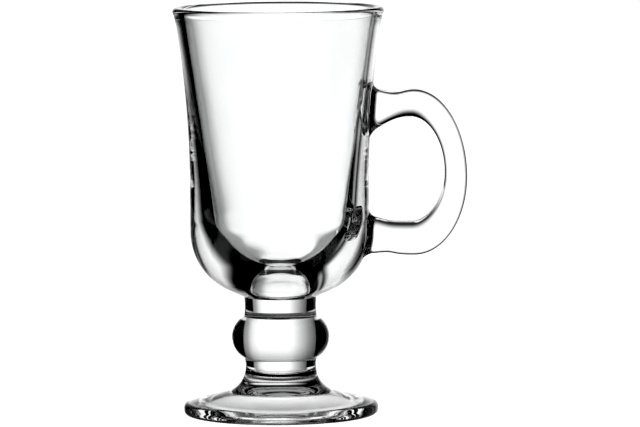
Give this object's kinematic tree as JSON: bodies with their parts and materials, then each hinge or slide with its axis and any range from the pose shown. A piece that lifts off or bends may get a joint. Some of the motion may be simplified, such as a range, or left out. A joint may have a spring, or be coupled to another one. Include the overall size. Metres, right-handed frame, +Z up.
{
  "type": "footed glass mug",
  "caption": "Clear glass footed mug for hot coffee drinks: a flared bowl with a thick base, a knopped stem, a round foot and a loop handle at its side.",
  "frame": {"origin": "centre of the foot, on the plane that the mug stands on", "axes": "+Z up along the axis of the bowl, stem and foot; +X from that axis towards the handle; the handle is symmetric about Y = 0"},
  "size_m": [0.1055, 0.076, 0.147],
  "materials": {
    "clear_glass": "fire polished"
  },
  "bodies": {
    "root": {"foot": "clear_glass", "lower_collar": "clear_glass", "knop": "clear_glass", "upper_collar": "clear_glass", "bowl": "clear_glass", "handle": "clear_glass"}
  },
  "joints": []
}
